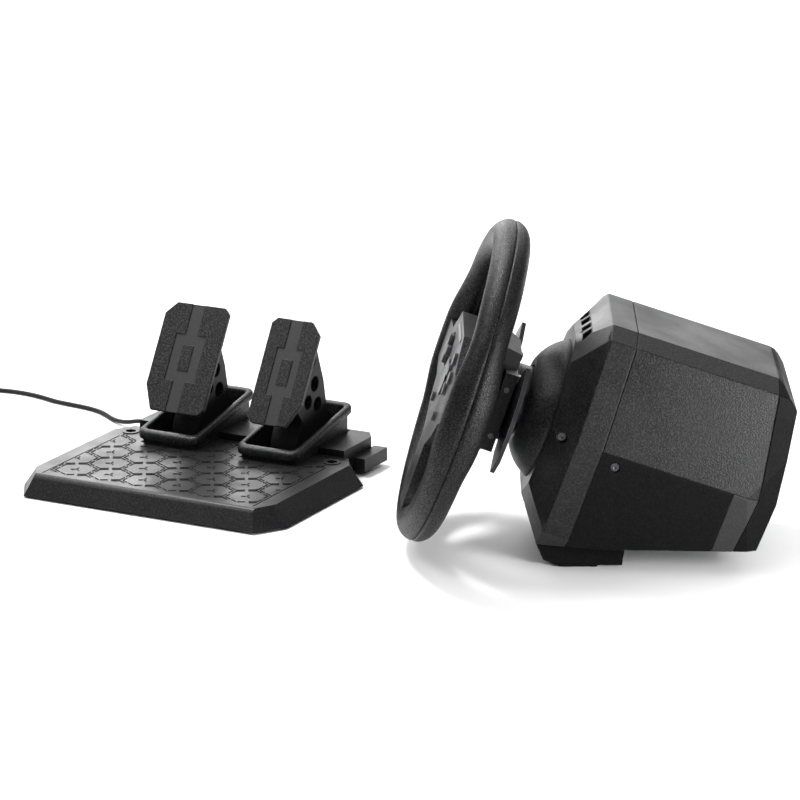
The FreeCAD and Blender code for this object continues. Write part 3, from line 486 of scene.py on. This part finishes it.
def make_wheel():
    make_rim_half("rim_grip_front", -1, "rim_front_shell")
    make_rim_half("rim_grip_rear", 1, "rim_rear_shell")
    finish_node("wheel_faceplate", "rough", 0.8)
    finish_node("hub_rear_cover", "grey", 1.0)
    finish_node("wheel_frame", "core")
    finish_node("wheel_pcb", "smooth")
    finish_node("center_cap", "gloss", 0.5)
    finish_node("led_window", "lens", 0.3)
    finish_node("paddle_carriers", "shell", 0.6)
    finish_node("paddle_pins", "steel")
    finish_node("carrier_screws", "screw", 0.2)
    finish_node("paddle_left", "metal", 0.5)
    finish_node("paddle_right", "metal", 0.5)
    finish_node("column_collar", "metal", 0.4)
    finish_node("main_shaft", "steel")
    finish_node("driven_pulley", "core")
    for place in ("top", "right", "bottom", "left"):
        finish_node("action_button_" + place, "buttons", 0.5)
    for place in ("left", "right"):
        finish_node("menu_button_" + place, "buttons", 0.4)
    finish_node("dpad", "buttons", 0.6)
    finish_node("dpad_pivot", "core")


# ---------------------------------------------------------------- base
def make_base():
    finish_node("nose_cone", "rough", 0.6)
    finish_node("front_bezel", "shell", 1.0, clamp=False)
    finish_node("upper_shell", "shell", 0.9, clamp=False)
    # The lower shell, the rear cap and the front block take the shell plastic painted darker as
    # shade.
    finish_node("lower_shell", "painted_shade_black", 0.8, clamp=False)
    finish_node("rear_skirt", "grey", 0.6, clamp=False)
    finish_node("rear_cap", "painted_shade_black", 0.9, clamp=False)
    finish_node("front_block", "painted_shade_black", 1.0)
    finish_node("base_feet", "rubber", 0.6)
    finish_node("casing_screws", "screw", 0.25)
    finish_node("usb_socket", "steel", 0.2)
    finish_node("pedal_socket", "smooth", 0.2)
    finish_node("power_socket", "smooth", 0.2)
    for name in ("bearings", "motor", "motor_pulley"):
        finish_node(name, "steel")
    finish_node("bearing_frame", "alloy")
    finish_node("drive_belt", "rubber")
    finish_node("main_pcb", "board")


# ---------------------------------------------------------------- pedal set
PEDAL_X = {"brake": 58.0, "gas": 158.0}
PLATE_TOP = 20.0
HEX_PITCH = 34.0
HEX_SIDE = HEX_PITCH / math.sqrt(3)
HEX_FIRST = (24.0, 28.5)
HEX_ROWS = 5
HEX_COLUMNS = 8
FIELD = ((5.2, 210.8), (11.0, 163.0))
RIDGE_HALF = 0.42
RIDGE_TOP_HALF = RIDGE_HALF * 0.55
RIDGE_HIGH = 0.55
RIDGE_SUNK = 0.1
RIDGE_GAP = 1.45
RIDGE_ARM = 0.42
HALF_ROW_FROM = 0.55
MARK_START = 0.6
MARK_END = 4.6
TRIM_STEPS = 40
SHORTEST_SHARE = 0.25
HOUSING_CLEAR_X = 32.5
HOUSING_CLEAR_Y = 121.0
BOLT_PLACES = ((6.0, 150.0), (210.0, 150.0))
BOLT_CLEAR = 10.5


def add_ridge(builder, path):
    """A low ridge with sloping sides along a path of two or three points, mitred at its bend."""
    count = len(path)
    directions = [(path[i + 1] - path[i]).normalized() for i in range(count - 1)]
    rings = []
    for i, point in enumerate(path):
        before = directions[max(i - 1, 0)]
        after = directions[min(i, count - 2)]
        normal = Vector((-(before + after).y, (before + after).x)).normalized()
        stretch = 1.0 / max(normal.dot(Vector((-after.y, after.x))), 0.5)
        wide = normal * RIDGE_HALF * stretch
        top = normal * RIDGE_TOP_HALF * stretch
        high = PLATE_TOP + RIDGE_HIGH
        low = PLATE_TOP - RIDGE_SUNK
        rings.append([
            (point.x - wide.x, point.y - wide.y, low),
            (point.x - top.x, point.y - top.y, high),
            (point.x + top.x, point.y + top.y, high),
            (point.x + wide.x, point.y + wide.y, low),
        ])
    builder.loops(rings)


def in_field(point):
    """On the open part of the plate: inside the rails, off the housings and the bolt holes."""
    (x0, x1), (y0, y1) = FIELD
    if not (x0 <= point.x <= x1 and y0 <= point.y <= y1):
        return False
    for x in PEDAL_X.values():
        if abs(point.x - x) < HOUSING_CLEAR_X and point.y > HOUSING_CLEAR_Y:
            return False
    for x, y in BOLT_PLACES:
        if (point - Vector((x, y))).length < BOLT_CLEAR:
            return False
    return True


def trimmed(start, end):
    """The part of a line that stays in the field, from its inner end, or nothing."""
    if not in_field(start):
        start, end = end, start
    if not in_field(start):
        return None
    reach = 0
    while reach < TRIM_STEPS and in_field(start.lerp(end, (reach + 1) / TRIM_STEPS)):
        reach += 1
    if reach < TRIM_STEPS * SHORTEST_SHARE:
        return None
    return start, start.lerp(end, reach / TRIM_STEPS)


def hexagons():
    """Each hexagon's centre, and whether it is whole: only its upper half shows in the row before
    the first.  Odd rows are half a pitch over."""
    for row in range(-1, HEX_ROWS + 1):
        for column in range(-1, HEX_COLUMNS):
            x = HEX_FIRST[0] + column * HEX_PITCH - (row % 2) * HEX_PITCH / 2
            y = HEX_FIRST[1] + row * HEX_SIDE * 1.5
            yield Vector((x, y)), row >= 0


def add_hexagon(builder, centre, whole):
    """Six broken corners just inside a hexagon's sides, and the small Y at its centre."""
    inner = HEX_SIDE - RIDGE_GAP / math.cos(math.radians(30))
    corners = []
    for i in range(6):
        angle = math.radians(30 + 60 * i)
        corners.append(centre + Vector((math.cos(angle), math.sin(angle))) * inner)
    for i, corner in enumerate(corners):
        neighbours = (corners[i - 1], corners[(i + 1) % 6])
        arms = [corner.lerp(neighbour, RIDGE_ARM) for neighbour in neighbours]
        if not whole:
            arms = [arm for arm in arms if arm.y > centre.y + inner * HALF_ROW_FROM]
        if len(arms) == 2 and in_field(corner) and all(in_field(arm) for arm in arms):
            add_ridge(builder, [arms[0], corner, arms[1]])
            continue
        for arm in arms:
            piece = trimmed(corner, arm)
            if piece:
                add_ridge(builder, list(piece))
    if whole:
        for i in range(3):
            angle = math.radians(90 + 120 * i)
            out = Vector((math.cos(angle), math.sin(angle)))
            piece = trimmed(centre + out * MARK_START, centre + out * MARK_END)
            if piece:
                add_ridge(builder, list(piece))


def make_plate_pattern():
    builder = Builder()
    for centre, whole in hexagons():
        add_hexagon(builder, centre, whole)
    pattern = builder.build("plate_pattern", ["smooth"])
    settle(pattern, PEDALS, "pedal_base", "black_grain")


# Half width, half height, half width of the block in the strip, and the side with cut corners.
FACE_SIZES = {"brake": (31.5, 50.0, 15.0, -1), "gas": (24.5, 48.5, 12.5, 1)}
FACE_TILT = math.radians(31.5)
FACE_CENTRE = (158.0, 92.6)
FACE_THICK = 4.5
PANEL_THICK = 0.9
STRIP_HALF = 6.0
BLOCK_HALF_HIGH = 21.5
CUT_ACROSS = 10.0
CUT_TOP = 11.0
CUT_BOTTOM = 22.0
SOFT_CORNER = 5.0
BADGE_HALF = (5.5, 12.0)
BADGE_SUNK = 0.15
PANEL_OVERLAP = 0.2
FACE_EDGE = 0.45


def face_matrix(x):
    """From a pedal face's frame, with X across, Y through and Z up it, to the shared frame."""
    return PEDALS @ Matrix.Translation((x, *FACE_CENTRE)) @ Matrix.Rotation(-FACE_TILT, 4, "X")


def face_panels(half_w, half_h, block_half, side):
    """The two raised panels, which leave the strip and its block between them, and the outer
    edges of the cut side and the plain side."""
    plain = [(half_w - SOFT_CORNER, half_h), (half_w, half_h - SOFT_CORNER),
             (half_w, -half_h + SOFT_CORNER), (half_w - SOFT_CORNER, -half_h)]
    cut = [(half_w - CUT_ACROSS, half_h), (half_w, half_h - CUT_TOP),
           (half_w, -half_h + CUT_BOTTOM), (half_w - CUT_ACROSS, -half_h)]
    inner = [(STRIP_HALF, -half_h), (STRIP_HALF, -BLOCK_HALF_HIGH), (block_half, -BLOCK_HALF_HIGH),
             (block_half, BLOCK_HALF_HIGH), (STRIP_HALF, BLOCK_HALF_HIGH), (STRIP_HALF, half_h)]
    panels = []
    for way, outer in ((side, cut), (-side, plain)):
        panels.append([(way * u, v) for u, v in outer + inner])
    return panels, cut, plain


def make_pedal_face(kind, x, half_w, half_h, block_half, side):
    panels, cut, plain = face_panels(half_w, half_h, block_half, side)
    builder = Builder()
    outline = [(side * u, v) for u, v in cut] + [(-side * u, v) for u, v in reversed(plain)]
    builder.slab(outline, PANEL_THICK, FACE_THICK, look=1)
    for panel in panels:
        builder.slab(panel, 0.0, PANEL_THICK + PANEL_OVERLAP)
    u, v = BADGE_HALF
    badge = [(-u, -v), (u, -v), (u, v), (-u, v)]
    builder.slab(badge, BADGE_SUNK, PANEL_THICK + PANEL_OVERLAP)
    face = builder.build(kind + "_pedal_face", ["rough", "strip"])
    soften(face, FACE_EDGE)
    settle(face, face_matrix(x), kind + "_pedal", "black_grain", kind + "_face")


HOUSING_MIDDLE = 177.0
HOUSING_FRONT = 128.0
HOUSING_SLOPE = 18.0 / 98.0
CORNER_STEPS = 8
CREASE_ANGLE = math.radians(50)

# Rings of a tub from its outer foot, over its rim and down inside: half width, half length,
# corner, level at the front, and slope towards the rear.
HOUSING_RINGS = (
    (28.0, 50.0, 6.0, 4.0, 0.0),
    (28.0, 50.0, 6.0, 24.8, HOUSING_SLOPE),
    (30.2, 53.7, 8.0, 25.0, HOUSING_SLOPE),
    (30.5, 54.0, 8.3, 25.6, HOUSING_SLOPE),
    (30.5, 54.0, 8.3, 29.8, HOUSING_SLOPE),
    (30.0, 53.5, 8.0, 31.1, HOUSING_SLOPE),
    (28.9, 52.4, 7.2, 31.9, HOUSING_SLOPE),
    (26.0, 48.2, 5.0, 32.0, HOUSING_SLOPE),
    (25.2, 47.3, 4.4, 31.4, HOUSING_SLOPE),
    (25.0, 47.0, 4.2, 30.0, HOUSING_SLOPE),
    (25.0, 47.0, 4.2, 7.0, 0.0),
)


def rounded_ring(x, half_w, half_l, corner, level, slope):
    """A ring of points round a housing, on a plane that rises towards the rear."""
    ring = []
    for i, (sx, sy) in enumerate(((1, 1), (-1, 1), (-1, -1), (1, -1))):
        for k in range(CORNER_STEPS + 1):
            turn = math.radians(90 * i + 90 * k / CORNER_STEPS)
            px = x + sx * (half_w - corner) + corner * math.cos(turn)
            py = HOUSING_MIDDLE + sy * (half_l - corner) + corner * math.sin(turn)
            ring.append((px, py, level + slope * (py - HOUSING_FRONT)))
    return ring


def make_housing(kind, x):
    """The tub round a pedal's foot, with a thick rounded rim round its open top."""
    builder = Builder()
    builder.loops([rounded_ring(x, *ring) for ring in HOUSING_RINGS])
    housing = builder.build(kind + "_pedal_housing", ["rough"], smooth=True)
    crease = housing.modifiers.new("crease", "EDGE_SPLIT")
    crease.split_angle = CREASE_ANGLE
    settle(housing, PEDALS, "pedal_base", "black_grain", kind + "_housing")


def make_pedal_set():
    finish_node("foot_plate", "plate", 0.8)
    finish_node("pedal_chassis", "shell", 0.9)
    finish_node("bottom_cover", "core")
    finish_node("pedal_feet", "rubber", 0.4)
    for kind in PEDAL_X:
        finish_node(kind + "_arm", "smooth", 0.6)
    finish_node("pedal_pins", "steel")
    finish_node("pedal_springs", "screw")
    finish_node("pedal_sensors", "core")
    for kind, x in PEDAL_X.items():
        make_housing(kind, x)
    make_plate_pattern()
    for kind, x in PEDAL_X.items():
        make_pedal_face(kind, x, *FACE_SIZES[kind])


# ---------------------------------------------------------------- cord
CORD_DIAMETER = 4.0
CORD_ROUTE = [
    (-12.0, 216.0, 9.0), (-25.0, 216.0, 9.0), (-40.0, 218.0, 4.6), (-59.0, 227.0, 2.1),
    (-77.0, 241.0, 2.1), (-95.0, 249.0, 2.1), (-116.0, 252.0, 2.1), (-138.0, 254.0, 2.1),
    (-157.0, 261.0, 2.1), (-180.0, 265.0, 2.1), (-205.0, 263.0, 2.1), (-228.0, 254.0, 2.1),
]
COIL_REACH = 28.0
COIL_BEARING = math.radians(277.0)
COIL_COLUMNS = (26.0, 22.0, 18.0)
COIL_TURNS = 11.633
COIL_PITCH = 4.12
CHANGE_TURNS = 0.3
TAIL_TURNS = 0.4
TAIL_RISE_SHARE = 0.45
TAIL_REACH = 7.0
TURN_POINTS = 16
OVER_COIL = 21.3
PLUG_LEVEL = 22.5
PLUG_WAY_IN = ((24.5, -9.5), (22.0, -4.0))

RELIEF_ENDS = (9.0, -12.0)
RELIEF_RIBS = 6
RIB_STEPS = 6
RIB_DEPTH = 0.35
RIBS_FROM = 3.5
NECK_RADIUS = 3.4
TAPER_FROM = 4.0
TAPER_LENGTH = 16.0
TAPER_RADIUS = 4.6
TAPER_LOSS = 1.7
RELIEF_SIDES = 24


def coil_place(turns):
    """Radius and height at a number of turns: up the outer column, down the middle one, up the
    inner one, then a tail that rises over the coil and comes out to the plug."""
    column_turns = (COIL_TURNS - 2 * CHANGE_TURNS - TAIL_TURNS) / 3
    low = CORD_DIAMETER / 2 + 0.1
    high = low + column_turns * COIL_PITCH
    period = column_turns + CHANGE_TURNS
    column = min(int(turns / period), 2)
    along = turns - column * period
    start, end = (high, low) if column == 1 else (low, high)
    radius = COIL_COLUMNS[column]
    if along <= column_turns:
        return radius, start + (end - start) * along / column_turns
    if column < 2:
        share = (along - column_turns) / CHANGE_TURNS
        return radius + (COIL_COLUMNS[column + 1] - radius) * share, end
    share = (along - column_turns) / TAIL_TURNS
    if share < TAIL_RISE_SHARE:
        return radius, end + (OVER_COIL - end) * share / TAIL_RISE_SHARE
    out = (share - TAIL_RISE_SHARE) / (1.0 - TAIL_RISE_SHARE)
    return radius + TAIL_REACH * out, OVER_COIL + (PLUG_LEVEL - OVER_COIL) * out


def cord_points():
    """The cord's control points from the pedal base to its plug.  The curve runs inside the
    polygon of its points, so the coil's points lie a little outside its turns."""
    end = Vector(CORD_ROUTE[-1])
    centre = end + Vector((math.cos(COIL_BEARING), math.sin(COIL_BEARING), 0)) * COIL_REACH
    points = [Vector(p) for p in CORD_ROUTE]
    shrink = math.cos(math.pi / TURN_POINTS)
    count = round(COIL_TURNS * TURN_POINTS)
    for i in range(1, count + 1):
        turns = i * COIL_TURNS / count
        radius, height = coil_place(turns)
        angle = COIL_BEARING + math.pi + 2 * math.pi * turns
        flat = Vector((math.cos(angle), math.sin(angle), 0)) * (radius / shrink)
        points.append(Vector((centre.x, centre.y, height)) + flat)
    for x, y in PLUG_WAY_IN:
        points.append(Vector((centre.x + x, centre.y + y, PLUG_LEVEL)))
    return points


def make_cord():
    points = [PEDALS @ p for p in cord_points()]
    data = bpy.data.curves.new("pedal_cord", "CURVE")
    data.dimensions = "3D"
    spline = data.splines.new("NURBS")
    spline.points.add(len(points) - 1)
    for slot, point in zip(spline.points, points):
        slot.co = (*point, 1.0)
    spline.order_u = 3
    spline.use_endpoint_u = True
    data.resolution_u = 6
    data.bevel_depth = CORD_DIAMETER / 2 * 0.001
    data.bevel_resolution = 5
    data.use_fill_caps = True
    data.materials.append(MATERIALS["cable"])
    cord = bpy.data.objects.new("pedal_cord", data)
    SCENE.collection.objects.link(cord)
    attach(cord, "pedal_base")
    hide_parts("cord_run", "cord_coil")
    relief = make_strain_relief()
    finish_node("cord_plug", "gloss", 0.5)


def make_strain_relief():
    """A ribbed, tapered sleeve where the cord leaves the pedal base."""
    wall, tip = RELIEF_ENDS
    _, exit_y, exit_z = CORD_ROUTE[0]
    steps = RELIEF_RIBS * RIB_STEPS
    rings = []
    for i in range(steps + 1):
        x = wall + (tip - wall) * i / steps
        share = min(max((TAPER_FROM - x) / TAPER_LENGTH, 0.0), 1.0)
        radius = TAPER_RADIUS - TAPER_LOSS * share
        if x < RIBS_FROM and i < steps:
            radius -= RIB_DEPTH * (0.5 - 0.5 * math.cos(2 * math.pi * i / RIB_STEPS))
        if x > TAPER_FROM:
            radius = NECK_RADIUS
        ring = []
        for k in range(RELIEF_SIDES):
            turn = 2 * math.pi * k / RELIEF_SIDES
            ring.append((x, exit_y + radius * math.cos(turn), exit_z + radius * math.sin(turn)))
        rings.append(ring)
    builder = Builder()
    builder.loops(rings)
    relief = builder.build("strain_relief", ["rubber"], smooth=True)
    return settle(relief, PEDALS, "pedal_base", "black_rubber", "cord_gland")


# ---------------------------------------------------------------- everything
def main():
    make_camera()
    make_cord()
    make_wheel()
    make_base()
    make_pedal_set()
    make_studio()


main()
